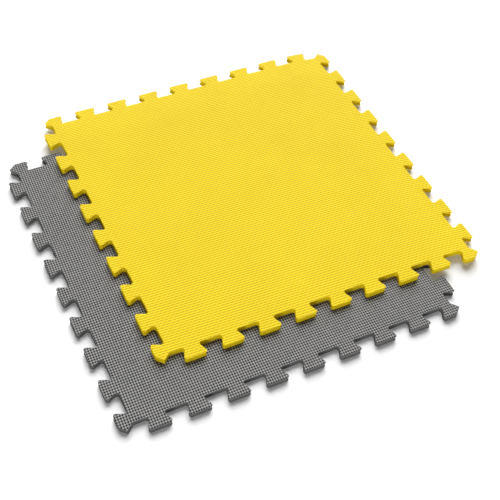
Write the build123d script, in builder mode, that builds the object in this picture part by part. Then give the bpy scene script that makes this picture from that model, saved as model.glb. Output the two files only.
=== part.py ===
from build123d import *
from math import radians, tan
import os

# Two square interlocking foam mats for blocking knitting, one lying loose on the other.
# Each mat is die-cut from one flat sheet of closed-cell EVA foam. Its four sides are the same
# side turned by a quarter, so any side of one mat joins any side of another.
# Millimetres, +Z up. The origin is on the floor, midway between the two mats.

# Driving dimensions
mat_pitch = 600.0          # from one mat's middle to the next one's when they are joined
tabs_per_side = 9          # the corner tab included
tab_height = 22.9          # from the root line to the tip line
tab_flare = 23.0           # degrees that a tab's sides lean outwards
tab_radius = 4.2           # at the corners of the tabs and of the gaps
corner_slope = 42.5        # degrees between a side and the short edge that leaves its corner point
corner_radius = 7.5        # where that short edge meets the root line or the tip line
point_radius = 0.8         # on the corner point itself
thickness = 10.7
shift_x = 97.6             # the upper mat's middle from the lower mat's
shift_y = 89.2

# Worked out from these
tab_pitch = mat_pitch / tabs_per_side
tab_rise = tab_height / 2
flare_shift = tab_rise * tan(radians(tab_flare))
corner_run = tab_rise / tan(radians(corner_slope))


def side_corners():
    """Corners of one side, from its corner point to the next one: (along, outwards, radius).

    The line between the root line and the tip line is crossed every half tab pitch. Turned end
    for end about its middle, the side is its own mate, so tabs fill gaps when mats are joined.
    """
    corners = [(0, 0, point_radius), (corner_run, -tab_rise, corner_radius)]
    outwards = -tab_rise
    for crossing in range(1, 2 * tabs_per_side):
        along = crossing * tab_pitch / 2
        corners.append((along + flare_shift, outwards, tab_radius))
        corners.append((along - flare_shift, -outwards, tab_radius))
        outwards = -outwards
    corners.append((mat_pitch - corner_run, tab_rise, corner_radius))
    return corners


def mat_corners():
    """Corners of the whole outline, anticlockwise about the mat's middle, and their radii."""
    points = []
    radii = []
    for quarter in range(4):
        for along, outwards, radius in side_corners():
            point = Vector(along - mat_pitch / 2, -mat_pitch / 2 - outwards)
            points.append(point.rotate(Axis.Z, 90 * quarter))
            radii.append(radius)
    return points, radii


outline_points, outline_radii = mat_corners()
lower_plane = Plane((-shift_x / 2, -shift_y / 2, 0))
upper_plane = Plane((shift_x / 2, shift_y / 2, thickness))

# Lower mat: grey foam, lies on the floor
with BuildPart() as grey_mat:
    with BuildSketch(lower_plane):
        with BuildLine():
            FilletPolyline(*outline_points, radius=outline_radii, close=True)
        make_face()
    extrude(amount=thickness)

# Upper mat: yellow foam, lies loose on the lower mat and lifts off it
with BuildPart() as yellow_mat:
    with BuildSketch(upper_plane):
        with BuildLine():
            FilletPolyline(*outline_points, radius=outline_radii, close=True)
        make_face()
    extrude(amount=thickness)

grey_mat.part.label = "grey_mat"
yellow_mat.part.label = "yellow_mat"

os.makedirs("parts", exist_ok=True)
export_step(grey_mat.part, "parts/grey_mat.step")
export_step(yellow_mat.part, "parts/yellow_mat.step")
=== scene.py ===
from math import atan2, ceil, cos, pi, radians, sin, tan

import bpy
import numpy as np
from mathutils import Matrix, Vector
from mathutils.geometry import delaunay_2d_cdt


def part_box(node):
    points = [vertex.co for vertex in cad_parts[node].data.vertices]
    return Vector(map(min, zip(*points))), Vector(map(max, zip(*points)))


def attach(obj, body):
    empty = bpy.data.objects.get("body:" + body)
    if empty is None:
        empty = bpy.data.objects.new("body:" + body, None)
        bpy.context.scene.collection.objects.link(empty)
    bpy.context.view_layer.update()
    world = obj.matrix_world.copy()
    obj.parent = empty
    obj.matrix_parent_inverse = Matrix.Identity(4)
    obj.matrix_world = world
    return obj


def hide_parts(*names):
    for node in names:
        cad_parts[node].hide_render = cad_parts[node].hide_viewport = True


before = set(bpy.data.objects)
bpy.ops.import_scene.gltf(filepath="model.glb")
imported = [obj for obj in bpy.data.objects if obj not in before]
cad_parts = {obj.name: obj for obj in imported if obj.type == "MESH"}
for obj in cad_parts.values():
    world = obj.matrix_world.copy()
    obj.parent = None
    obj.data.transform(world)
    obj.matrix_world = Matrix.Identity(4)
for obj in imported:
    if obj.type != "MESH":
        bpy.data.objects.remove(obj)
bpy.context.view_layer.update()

MM = 0.001

# ---------------------------------------------------------------------------------------------
# Outline: the same driving dimensions as the CAD, in millimetres from the mat's own middle
# ---------------------------------------------------------------------------------------------
MAT_PITCH = 600.0
TABS = 9
TAB_HEIGHT = 22.9
TAB_FLARE = 23.0
TAB_RADIUS = 4.2
CORNER_SLOPE = 42.5
CORNER_RADIUS = 7.5
POINT_RADIUS = 0.8
ARC_STEP = radians(14)        # facet of a rounded corner
RUN_STEP = 3.0                # facet of a straight run
LEAST_RADIUS = 0.05
MERGE_DISTANCE = 1e-5         # below it the triangulation takes two points for one

tab_pitch = MAT_PITCH / TABS
tab_rise = TAB_HEIGHT / 2
flare_shift = tab_rise * tan(radians(TAB_FLARE))
corner_run = tab_rise / tan(radians(CORNER_SLOPE))
root_reach = MAT_PITCH / 2 - tab_rise
reach = MAT_PITCH / 2 + tab_rise


def outline_corners():
    """Every corner of the outline, anticlockwise, with the radius it is rounded to."""
    side = [(0.0, 0.0, POINT_RADIUS), (corner_run, -tab_rise, CORNER_RADIUS)]
    outwards = -tab_rise
    for crossing in range(1, 2 * TABS):
        along = crossing * tab_pitch / 2
        side.append((along + flare_shift, outwards, TAB_RADIUS))
        side.append((along - flare_shift, -outwards, TAB_RADIUS))
        outwards = -outwards
    side.append((MAT_PITCH - corner_run, tab_rise, CORNER_RADIUS))
    corners = []
    for quarter in range(4):
        for along, outwards, radius in side:
            x, y = along - MAT_PITCH / 2, -MAT_PITCH / 2 - outwards
            for _ in range(quarter):
                x, y = -y, x
            corners.append((x, y, radius))
    return corners


def rounded_outline(inset=0.0):
    """Points on the rounded outline, drawn in by inset. Each inset gives the same number of points."""
    corners = outline_corners()
    count = len(corners)
    arcs = []
    for i, (x, y, radius) in enumerate(corners):
        a = Vector(corners[i - 1][:2])
        b = Vector((x, y))
        c = Vector(corners[(i + 1) % count][:2])
        back, ahead = (a - b).normalized(), (c - b).normalized()
        half = back.angle(ahead) / 2
        outward = 1.0 if (b - a).cross(c - b) > 0 else -1.0
        across = (back + ahead).normalized() / sin(half)
        smaller = max(radius - outward * inset, LEAST_RADIUS)
        middle = b + across * (outward * inset + smaller)
        start = b + back * radius / tan(half) - (b + across * radius)
        first = atan2(start.y, start.x)
        sweep = pi - 2 * half
        steps = max(2, ceil(sweep / ARC_STEP))
        angles = [first + outward * sweep * k / steps for k in range(steps + 1)]
        arcs.append([middle + Vector((cos(t), sin(t))) * smaller for t in angles])
    points = []
    for i, (x, y, radius) in enumerate(corners):
        next_x, next_y, next_radius = corners[(i + 1) % count]
        start, stop = arcs[i][-1], arcs[(i + 1) % count][0]
        length = (Vector((next_x, next_y)) - Vector((x, y))).length
        pieces = max(1, round((length - radius - next_radius) / RUN_STEP))
        points += arcs[i]
        points += [start + (stop - start) * k / pieces for k in range(1, pieces)]
    return np.array(points)


def inside_polygon(xy, ring):
    """True for each point of xy that lies inside the closed ring."""
    result = np.zeros(len(xy), bool)
    x, y = xy[:, 0], xy[:, 1]
    previous = ring[-1]
    for current in ring:
        (x0, y0), (x1, y1) = previous, current
        if y0 != y1:
            crosses = (y0 > y) != (y1 > y)
            result ^= crosses & (x < (x1 - x0) * (y - y0) / (y1 - y0) + x0)
        previous = current
    return result


def distance_to_ring(xy, ring):
    """Distance from each point of xy to the nearest edge of the closed ring."""
    best = np.full(len(xy), np.inf)
    previous = ring[-1]
    for current in ring:
        edge = current - previous
        t = np.clip(((xy - previous) @ edge) / (edge @ edge), 0, 1)
        gap = xy - previous - t[:, None] * edge
        best = np.minimum(best, (gap * gap).sum(1))
        previous = current
    return np.sqrt(best)


def triangulate(xy, edges):
    """Triangles between the points of xy that hold every edge, as rows of point numbers."""
    points = [Vector(p) for p in xy.tolist()]
    made, _, triangles, originals, _, _ = delaunay_2d_cdt(points, edges, [], 0, MERGE_DISTANCE, True)
    if len(made) != len(xy):
        raise RuntimeError("the triangulation changed its points")
    first_of = np.array([group[0] for group in originals])
    return first_of[np.array(triangles)]


def wound(triangles, xy, upwards):
    """The same triangles, all turned to face up or all turned to face down."""
    corner = xy[triangles]
    area = np.cross(corner[:, 1] - corner[:, 0], corner[:, 2] - corner[:, 0])
    wrong = area < 0 if upwards else area > 0
    triangles[wrong] = triangles[wrong][:, ::-1]
    return triangles


# ---------------------------------------------------------------------------------------------
# Embossing: a close grid of raised bars, with a pit where four of them meet
# ---------------------------------------------------------------------------------------------
PIT_DEPTH = 0.9               # of the pits below the tops of the bars
GREY_LATTICE = {"u": (0.2325, -0.0098), "v": (0.0, 0.2050)}       # cells to a millimetre
YELLOW_LATTICE = {"u": (0.2360, 0.0), "v": (0.0100, 0.2070)}

BLOCK_MARGIN = 3.0            # between the root line and the grid of quads
RING_CLEARANCE = 0.7          # between the rim and the nearest grid point
RIM_TOP_INSET = 0.32
RIM_CUT = 0.5                 # how far the rim of the face looks like the cut edge
RIM_RELIEF = 0.5              # share of the embossing that the top of the cut edge follows
# painted light level of the face's rim, where it takes on the colour of the cut edge
FACE_PAINTED_LIGHT = 0.3
FACE_UP_LEAST = -0.2          # a normal that points lower belongs to the underside
RIM_PROFILE = [               # (inset, height as a share of the thickness, painted lightness), downwards; the lightness paints shade on the cut edge, darker towards the floor, with a lighter painted band below the middle
    (0.00, 0.960, 0.90),
    (0.35, 0.860, 0.85),
    (1.05, 0.660, 0.60),
    (1.55, 0.520, 0.35),
    (1.35, 0.380, 0.45),
    (0.62, 0.170, 0.20),
    (0.06, 0.035, 0.05),
    (0.30, 0.000, 0.10),
]

UNDER_STEP = 12.0             # grid of the underside
UNDER_REACH = 288.0
UNDER_BAND_STEP = 6.0         # closer rows of points along its tabs
UNDER_BAND = (294.0, 300.0, 306.0)
UNDER_CLEARANCE = 1.5


def cell_coordinates(xy, lattice):
    """Position in cells of the embossing: bars are centred on whole numbers."""
    return np.stack([xy @ np.array(lattice["u"]), xy @ np.array(lattice["v"])], 1)


def relief(xy, lattice):
    """Height of the embossed face relative to the tops of its bars, never above zero."""
    cells = cell_coordinates(xy, lattice)
    return -PIT_DEPTH * (1 - (np.cos(pi * cells) ** 2).mean(1))


def half_cell_grid(lattice):
    """A grid of points half a cell apart that covers the whole mat."""
    matrix = np.array([lattice["u"], lattice["v"]])
    span = np.abs(matrix).sum(1) * reach * 2
    steps = [np.arange(-ceil(s), ceil(s) + 1) for s in span]
    cells = np.stack(np.meshgrid(*steps, indexing="ij"), -1) / 2
    return cells @ np.linalg.inv(matrix).T


def quad_corners(grid):
    """The four corners of every quad of a grid, in order round it."""
    return grid[:-1, :-1], grid[1:, :-1], grid[1:, 1:], grid[:-1, 1:]


def embossed_face(lattice, rim):
    """Points and faces of the face: quads in the block, triangles between them and the rim.

    The rim's points come last.
    """
    xy = half_cell_grid(lattice)
    rows, columns = xy.shape[:2]
    flat = xy.reshape(-1, 2)
    in_block = (np.abs(xy) < root_reach - BLOCK_MARGIN).all(-1)
    quad_ok = np.logical_and.reduce(quad_corners(in_block))
    inner = np.ones((rows, columns), bool)
    for a, b in ((0, 0), (1, 0), (0, 1), (1, 1)):
        covered = np.zeros((rows, columns), bool)
        covered[a:rows - 1 + a, b:columns - 1 + b] = quad_ok
        inner &= covered

    inner_index = np.flatnonzero(inner.ravel())
    band_index = np.flatnonzero((~inner & (np.abs(xy) < reach).all(-1)).ravel())
    keep = inside_polygon(flat[band_index], rim)
    keep[keep] &= distance_to_ring(flat[band_index][keep], rim) > RING_CLEARANCE
    band_index = band_index[keep]
    block_count, band_count, rim_count = len(inner_index), len(band_index), len(rim)
    numbers = np.full(rows * columns, -1)
    numbers[inner_index] = np.arange(block_count)
    numbers[band_index] = block_count + np.arange(band_count)
    points = np.vstack([flat[inner_index], flat[band_index], rim])

    quads = np.stack(quad_corners(numbers.reshape(rows, columns)), -1)[quad_ok]
    if np.cross(xy[1, 0] - xy[0, 0], xy[0, 1] - xy[0, 0]) < 0:
        quads = quads[:, ::-1]

    # the triangles hold the rim and the outer edge of the quads
    edges = [(band_count + k, band_count + (k + 1) % rim_count) for k in range(rim_count)]
    uses = {}
    for quad in quads.tolist():
        for k in range(4):
            pair = tuple(sorted((quad[k], quad[(k + 1) % 4])))
            uses[pair] = uses.get(pair, 0) + 1
    edges += [(i - block_count, j - block_count) for (i, j), times in uses.items() if times == 1]
    outer = points[block_count:]
    triangles = triangulate(outer, edges)
    middles = outer[triangles].mean(1)
    wanted = inside_polygon(middles, rim)
    cells = np.floor(cell_coordinates(middles, lattice) * 2).astype(int)
    row = np.clip(cells[:, 0] + (rows - 1) // 2, 0, rows - 2)
    column = np.clip(cells[:, 1] + (columns - 1) // 2, 0, columns - 2)
    wanted &= ~quad_ok[row, column]
    triangles = wound(triangles[wanted] + block_count, points, upwards=True)
    return points, quads.tolist() + triangles.tolist()


def underside(rim):
    """Points inside the rim and triangles of the plain underside. The rim's points come first."""
    step = np.arange(-UNDER_REACH, UNDER_REACH + 0.1, UNDER_STEP)
    gx, gy = np.meshgrid(step, step)
    band = []
    for along in np.arange(-UNDER_BAND[-1], UNDER_BAND[-1] + 0.1, UNDER_BAND_STEP):
        for across in UNDER_BAND:
            band += [(along, across), (along, -across), (across, along), (-across, along)]
    inner = np.vstack([np.column_stack([gx.ravel(), gy.ravel()]), np.array(band)])
    inner = inner[inside_polygon(inner, rim)]
    inner = np.unique(inner[distance_to_ring(inner, rim) > UNDER_CLEARANCE], axis=0)
    points = np.vstack([rim, inner])
    triangles = triangulate(points, [(k, (k + 1) % len(rim)) for k in range(len(rim))])
    triangles = triangles[inside_polygon(points[triangles].mean(1), rim)]
    return inner, wound(triangles, points, upwards=False)


def build_mat(name, centre, base, thickness, lattice, sag):
    """One mat as a closed mesh: embossed face, die-cut edge all round and plain underside."""
    outline = rounded_outline()
    count = len(outline)
    face_xy, faces = embossed_face(lattice, rounded_outline(RIM_TOP_INSET))
    vertices = [np.column_stack([face_xy, thickness + relief(face_xy, lattice)])]
    cut = [np.zeros(len(face_xy))]
    cut[0][-count:] = RIM_CUT
    # painted light levels for the cut edge's colour, one for each vertex: painted shade darker towards
    # the floor
    light = [np.full(len(face_xy), FACE_PAINTED_LIGHT)]

    # the die-cut edge: rings of the outline, drawn in between the two faces
    upper, total = len(face_xy) - count, len(face_xy)
    for level, (inset, share, painted_lightness) in enumerate(RIM_PROFILE):
        z = np.full(count, thickness * share)
        if level == 0:
            z = z + relief(outline, lattice) * RIM_RELIEF
        last = level == len(RIM_PROFILE) - 1
        vertices.append(np.column_stack([rounded_outline(inset), z]))
        cut.append(np.full(count, 0.0 if last else 1.0))
        light.append(np.full(count, painted_lightness))
        for k in range(count):
            n = (k + 1) % count
            faces.append((upper + k, total + k, total + n, upper + n))
        upper = total
        total += count

    under_xy, triangles = underside(rounded_outline(RIM_PROFILE[-1][0]))
    faces += np.where(triangles < count, triangles + upper, triangles - count + total).tolist()
    vertices.append(np.column_stack([under_xy, np.zeros(len(under_xy))]))
    cut.append(np.zeros(len(under_xy)))
    light.append(np.zeros(len(under_xy)))

    vertices = np.vstack(vertices)
    if sag:
        vertices[:, 2] -= sag(vertices[:, 0], vertices[:, 1])
    vertices += (centre[0], centre[1], base)
    mesh = bpy.data.meshes.new(name)
    mesh.from_pydata((vertices * MM).tolist(), [], faces)
    mesh.validate()
    mesh.update()
    mesh.shade_smooth()
    add_attribute(mesh, "cut", np.concatenate(cut))
    add_attribute(mesh, "cut_painted_light", np.concatenate(light))
    mark_face_up(mesh)
    return add_object(name, mesh)


def add_attribute(mesh, name, values):
    layer = mesh.attributes.new(name, "FLOAT", "POINT")
    layer.data.foreach_set("value", values.astype(np.float32))


def mark_face_up(mesh):
    """A mask that is one on the embossed face and zero on the underside."""
    normals = np.zeros(len(mesh.vertices) * 3, np.float32)
    mesh.vertices.foreach_get("normal", normals)
    add_attribute(mesh, "face_up", normals.reshape(-1, 3)[:, 2] > FACE_UP_LEAST)


def add_object(name, data):
    made = bpy.data.objects.new(name, data)
    bpy.context.scene.collection.objects.link(made)
    return made


# ---------------------------------------------------------------------------------------------
# Placement from the frame
# ---------------------------------------------------------------------------------------------
def node_place(node):
    """Middle in plan, height of the underside and thickness of a CAD node, in millimetres."""
    low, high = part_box(node)
    middle = (low + high) / 2 / MM
    return (middle.x, middle.y), low.z / MM, (high.z - low.z) / MM


grey_centre, grey_base, grey_thickness = node_place("grey_mat")
yellow_centre, yellow_base, yellow_thickness = node_place("yellow_mat")
overhang_x = reach - (yellow_centre[0] - grey_centre[0])      # where the support ends
overhang_y = reach - (yellow_centre[1] - grey_centre[1])
SAG_RIGHT = 8.1
SAG_BACK = 4.7
SAG_MOST = 10.3               # keeps the corner just off the floor
SAG_SOFTNESS = 6


def cantilever(distance, length):
    """Shape of a strip that bends under its own weight, one at its free end."""
    s = np.clip(distance / length, 0, None)
    return (6 * s ** 2 - 4 * s ** 3 + s ** 4) / 3


def yellow_sag(x, y):
    """How far the unsupported right and back margins hang down under their own weight."""
    drop = SAG_RIGHT * cantilever(x - overhang_x, reach - overhang_x)
    drop = drop + SAG_BACK * cantilever(y - overhang_y, reach - overhang_y)
    return drop / (1 + (drop / SAG_MOST) ** SAG_SOFTNESS) ** (1 / SAG_SOFTNESS)


grey = build_mat("grey_foam_mat", grey_centre, grey_base, grey_thickness, GREY_LATTICE, None)
yellow = build_mat("yellow_foam_mat", yellow_centre, yellow_base, yellow_thickness,
                   YELLOW_LATTICE, yellow_sag)


# ---------------------------------------------------------------------------------------------
# Materials
# ---------------------------------------------------------------------------------------------
class Graph:
    """Short names for building one material's nodes."""

    def __init__(self, name):
        self.material = bpy.data.materials.new(name)
        self.material.use_nodes = True
        self.tree = self.material.node_tree
        self.tree.nodes.clear()
        self.output = self.tree.nodes.new("ShaderNodeOutputMaterial")

    def node(self, kind, **settings):
        made = self.tree.nodes.new(kind)
        for key, value in settings.items():
            setattr(made, key, value)
        return made

    def feed(self, socket, value):
        if isinstance(value, bpy.types.NodeSocket):
            self.tree.links.new(value, socket)
        else:
            socket.default_value = value

    def math(self, operation, a, b=0.0, c=0.0, clamp=False):
        made = self.node("ShaderNodeMath", operation=operation, use_clamp=clamp)
        for socket, value in zip(made.inputs, (a, b, c)):
            self.feed(socket, value)
        return made.outputs[0]

    def add(self, a, b):
        return self.math("ADD", a, b)

    def times(self, a, b):
        return self.math("MULTIPLY", a, b)

    def opposite(self, a):
        return self.math("SUBTRACT", 1.0, a)

    def centred(self, a):
        return self.math("SUBTRACT", a, 0.5)

    def blend_in(self, value, factor, total, clamp=False):
        """total + value * factor"""
        return self.math("MULTIPLY_ADD", value, factor, total, clamp)

    def attribute(self, name):
        return self.node("ShaderNodeAttribute", attribute_name=name).outputs["Fac"]

    def dot(self, vector, direction):
        made = self.node("ShaderNodeVectorMath", operation="DOT_PRODUCT")
        self.feed(made.inputs[0], vector)
        made.inputs[1].default_value = direction
        return made.outputs["Value"]

    def ramp(self, value, low, high, out_low=0.0, out_high=1.0):
        made = self.node("ShaderNodeMapRange", interpolation_type="SMOOTHSTEP")
        self.feed(made.inputs["Value"], value)
        made.inputs["From Min"].default_value = low
        made.inputs["From Max"].default_value = high
        made.inputs["To Min"].default_value = out_low
        made.inputs["To Max"].default_value = out_high
        return made.outputs["Result"]

    def noise(self, vector, scale, detail=2.0, rough=0.5):
        made = self.node("ShaderNodeTexNoise")
        self.feed(made.inputs["Vector"], vector)
        made.inputs["Scale"].default_value = scale
        made.inputs["Detail"].default_value = detail
        made.inputs["Roughness"].default_value = rough
        return made.outputs["Fac"]

    def mix(self, factor, a, b, blend="MIX"):
        made = self.node("ShaderNodeMix", data_type="RGBA", blend_type=blend)
        self.feed(made.inputs["Factor"], factor)
        self.feed(made.inputs["A"], a)
        self.feed(made.inputs["B"], b)
        return made.outputs["Result"]


SPECULAR = 0.14
CLOUD_SCALE = 9.0             # scales are per metre
GRAIN_SCALE = 900.0
STREAK_SCALE = 260.0
PORE_SCALE = 1500.0
PORE_BUMP = 0.16              # bumps are in millimetres
GRAIN_BUMP = 0.05
CUT_BLEND = (0.35, 0.85)      # of the mask, from the face's look to the cut edge's
CHECK_SHARE = 0.05            # how far neighbouring bars differ in turn
SPECK_SHARE = 0.06            # how far each bar differs at random
CLOUD_SHADE = (0.98, 1.01)
GRAIN_SHADE = (0.965, 1.03)
NOISE_MIDDLE = (0.3, 0.7)     # the part of the noise that is spread over a range
PORE_WALL = (0.15, 0.55)
PORE_CONTRAST = 0.35
STREAK_CONTRAST = 0.5
BACK_SHADE = 0.9
ROUGHNESS = (0.62, 0.78)
CUT_ROUGHER = 0.15


def foam(name, centre, lattice, face, pit_painted_shade, cut_painted_shade, cut_painted_light, back,
         row_share, brick_share, spread, depth):
    """Matt closed-cell foam: embossed face, porous cut edge, plain fine-grained underside."""
    g = Graph(name)
    place = g.node("ShaderNodeTexCoord").outputs["Object"]
    on_cut = g.ramp(g.attribute("cut"), *CUT_BLEND)
    facing_up = g.attribute("face_up")
    off_cut = g.opposite(on_cut)

    # the embossing in cells, in step with the mesh
    waves = []
    for row in ("u", "v"):
        fx, fy = (value / MM for value in lattice[row])
        shift = -(fx * centre[0] + fy * centre[1]) * MM
        waves.append(g.add(g.dot(place, (fx, fy, 0.0)), shift))
    u, v = waves
    wave_u = g.math("COSINE", g.times(u, pi))
    wave_v = g.math("COSINE", g.times(v, pi))
    across = g.times(g.times(wave_u, wave_u), 1 - row_share)
    height = g.blend_in(g.times(wave_v, wave_v), row_share, across)
    # dashes that alternate from row to row: relief in the bump, and through the colour painted shadow
    # beside the bars
    brick = g.times(wave_u, g.math("SINE", g.times(v, pi)))
    height = g.blend_in(brick, brick_share, height)

    # each bar a little different, and the sheet cloudy over larger distances
    cell = g.node("ShaderNodeCombineXYZ")
    g.feed(cell.inputs[0], g.math("ROUND", u))
    g.feed(cell.inputs[1], g.math("ROUND", v))
    speck = g.node("ShaderNodeTexWhiteNoise", noise_dimensions="2D")
    g.feed(speck.inputs["Vector"], cell.outputs[0])
    cloud = g.noise(place, CLOUD_SCALE, 3.0)
    grain = g.noise(place, GRAIN_SCALE, 3.0, 0.6)
    level = g.blend_in(g.times(wave_u, wave_v), CHECK_SHARE, height)
    level = g.blend_in(g.centred(speck.outputs["Value"]), SPECK_SHARE, level)
    # painted shade: the lower the relief, the nearer the colour comes to the dark pit colour, so the
    # pits are painted darker and the tops of the bars lighter
    colour = g.mix(g.ramp(level, 0.5 - spread, 0.5 + spread), pit_painted_shade, face)
    shade = g.ramp(cloud, *NOISE_MIDDLE, *CLOUD_SHADE)
    shade = g.times(shade, g.ramp(grain, *NOISE_MIDDLE, *GRAIN_SHADE))
    tint = g.node("ShaderNodeCombineColor")
    for socket in tint.inputs:
        g.feed(socket, shade)
    colour = g.mix(1.0, colour, tint.outputs[0], "MULTIPLY")

    # cut edge: open pores and streaks, over painted shade that darkens it towards the floor
    pores = g.node("ShaderNodeTexVoronoi", feature="F1")
    g.feed(pores.inputs["Vector"], place)
    pores.inputs["Scale"].default_value = PORE_SCALE
    pore = g.ramp(pores.outputs["Distance"], *PORE_WALL)
    streak = g.noise(place, STREAK_SCALE, 3.0)
    # painted shade and light from the ring levels, with the foam's own pores and streaks on top
    edge_level = g.blend_in(g.centred(pore), PORE_CONTRAST, g.attribute("cut_painted_light"))
    edge_level = g.blend_in(g.centred(streak), STREAK_CONTRAST, edge_level, clamp=True)
    # the cut edge's colour runs from its painted-shade colour to its painted-light colour
    colour = g.mix(on_cut, colour, g.mix(edge_level, cut_painted_shade, cut_painted_light))

    # underside: nearly one colour
    darker_back = tuple(BACK_SHADE * c for c in back[:3]) + (1.0,)
    below = g.mix(g.ramp(grain, *NOISE_MIDDLE), back, darker_back)
    colour = g.mix(g.times(g.opposite(facing_up), off_cut), colour, below)

    # bump in millimetres: bars on the face, pores on the cut, fine grain everywhere
    rise = g.times(g.times(height, depth), g.times(facing_up, off_cut))
    rise = g.blend_in(grain, GRAIN_BUMP, rise)
    rise = g.blend_in(g.times(pore, on_cut), PORE_BUMP, rise)
    bump = g.node("ShaderNodeBump")
    bump.inputs["Strength"].default_value = 1.0
    bump.inputs["Distance"].default_value = MM
    g.feed(bump.inputs["Height"], rise)

    shader = g.node("ShaderNodeBsdfPrincipled")
    g.feed(shader.inputs["Base Color"], colour)
    rough = g.ramp(grain, 0.25, 0.75, *ROUGHNESS)
    g.feed(shader.inputs["Roughness"], g.blend_in(on_cut, CUT_ROUGHER, rough, clamp=True))
    shader.inputs["Specular IOR Level"].default_value = SPECULAR
    g.feed(shader.inputs["Normal"], bump.outputs[0])
    g.feed(g.output.inputs["Surface"], shader.outputs[0])
    return g.material


# the pit colours are painted shade; the two cut edge colours are the painted-shade and painted-light
# ends of the cut edge
grey.data.materials.append(foam(
    "grey_eva_foam", grey_centre, GREY_LATTICE,
    face=(0.338, 0.333, 0.324, 1.0), pit_painted_shade=(0.019, 0.019, 0.019, 1.0),
    cut_painted_shade=(0.085, 0.085, 0.085, 1.0), cut_painted_light=(0.200, 0.199, 0.196, 1.0),
    back=(0.165, 0.165, 0.166, 1.0), row_share=0.5, brick_share=0.0, spread=0.25, depth=0.8))
yellow.data.materials.append(foam(
    "yellow_eva_foam", yellow_centre, YELLOW_LATTICE,
    face=(0.935, 0.708, 0.016, 1.0), pit_painted_shade=(0.630, 0.445, 0.005, 1.0),
    cut_painted_shade=(0.640, 0.450, 0.001, 1.0), cut_painted_light=(0.960, 0.740, 0.010, 1.0),
    back=(0.800, 0.590, 0.025, 1.0), row_share=0.80, brick_share=0.14, spread=0.36, depth=0.45))

for piece, node, body, slot in ((grey, "grey_mat", "lower_mat", "grey_foam"),
                                (yellow, "yellow_mat", "upper_mat", "yellow_foam")):
    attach(piece, body)
    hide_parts(node)

# ---------------------------------------------------------------------------------------------
# Floor, light and camera
# ---------------------------------------------------------------------------------------------
FLOOR_REACH = 12.0
FLOOR_DROP = 0.0004           # keeps the floor clear of the undersides
FLOOR_GREY = 0.85
FLOOR_GLOW = 0.09             # keeps the shadows on the floor pale
FLOOR_ROUGHNESS = 0.85
FLOOR_SPECULAR = 0.1

floor_mesh = bpy.data.meshes.new("floor")
floor_mesh.from_pydata([(sx * FLOOR_REACH, sy * FLOOR_REACH, 0)
                        for sx, sy in ((-1, -1), (1, -1), (1, 1), (-1, 1))],
                       [], [(0, 1, 2, 3)])
floor = add_object("floor", floor_mesh)
floor.location.z = -FLOOR_DROP
g = Graph("pale_floor")
shader = g.node("ShaderNodeBsdfPrincipled")
shader.inputs["Base Color"].default_value = (FLOOR_GREY, FLOOR_GREY, FLOOR_GREY, 1.0)
shader.inputs["Roughness"].default_value = FLOOR_ROUGHNESS
shader.inputs["Emission Color"].default_value = (1.0, 1.0, 1.0, 1.0)
shader.inputs["Emission Strength"].default_value = FLOOR_GLOW
shader.inputs["Specular IOR Level"].default_value = FLOOR_SPECULAR
g.feed(g.output.inputs["Surface"], shader.outputs[0])
floor_mesh.materials.append(g.material)


def aim(lamp, direction):
    lamp.rotation_mode = "QUATERNION"
    lamp.rotation_quaternion = Vector(direction).to_track_quat("-Z", "Y")


def sun_light(name, travel, spread, strength):
    """Parallel light that travels along a direction, spread over an angle in degrees."""
    data = bpy.data.lights.new(name, "SUN")
    data.angle = radians(spread)
    data.energy = strength
    aim(add_object(name, data), travel)


def area_light(name, place, width, power):
    """A square panel that faces the middle of the floor."""
    data = bpy.data.lights.new(name, "AREA")
    data.shape = "SQUARE"
    data.size = width
    data.energy = power
    lamp = add_object(name, data)
    lamp.location = place
    aim(lamp, -Vector(place))


sun_light("key", travel=(-0.54, -1.04, -1.0), spread=54, strength=5.20)
sun_light("low_side", travel=(0.52, 0.83, -0.13), spread=18, strength=1.40)
area_light("fill", place=(-0.8, -0.9, 1.6), width=0.8, power=1.0)

# a dim ceiling over a white band at the height of the horizon
BAND_TOP = 0.06               # sines of the elevations between which the band fades
CEILING_START = 0.17
CEILING = 0.03

world = bpy.data.worlds.new("studio")
world.use_nodes = True
sky = world.node_tree
upwards = sky.nodes.new("ShaderNodeSeparateXYZ")
sky.links.new(sky.nodes.new("ShaderNodeTexCoord").outputs["Generated"], upwards.inputs[0])
fade = sky.nodes.new("ShaderNodeMapRange")
fade.interpolation_type = "SMOOTHSTEP"
sky.links.new(upwards.outputs["Z"], fade.inputs["Value"])
fade.inputs["From Min"].default_value = BAND_TOP
fade.inputs["From Max"].default_value = CEILING_START
fade.inputs["To Min"].default_value = 1.0
fade.inputs["To Max"].default_value = CEILING
background = sky.nodes["Background"]
background.inputs["Color"].default_value = (1.0, 1.0, 1.0, 1.0)
sky.links.new(fade.outputs["Result"], background.inputs["Strength"])
bpy.context.scene.world = world
bpy.context.scene.view_settings.view_transform = "Standard"

HEADING, PITCH, ROLL = -28.878, -52.128, 4.563       # degrees
CAMERA_PLACE = (-0.55794, -1.02174, 1.24647)
LENS = 67.12                  # millimetres, on a sensor 36 mm wide
SENSOR_WIDTH = 36.0
SHIFT_X, SHIFT_Y = 0.0312, 0.0978
camera_data = bpy.data.cameras.new("camera")
camera_data.sensor_width = SENSOR_WIDTH
camera_data.lens = LENS
camera_data.shift_x = SHIFT_X
camera_data.shift_y = SHIFT_Y
camera_data.clip_end = 50.0
camera = add_object("camera", camera_data)
camera.location = CAMERA_PLACE
camera.rotation_mode = "QUATERNION"
camera.rotation_quaternion = (Matrix.Rotation(radians(HEADING), 3, "Z")
                              @ Matrix.Rotation(radians(90 + PITCH), 3, "X")
                              @ Matrix.Rotation(radians(ROLL), 3, "Z")).to_quaternion()
bpy.context.scene.camera = camera
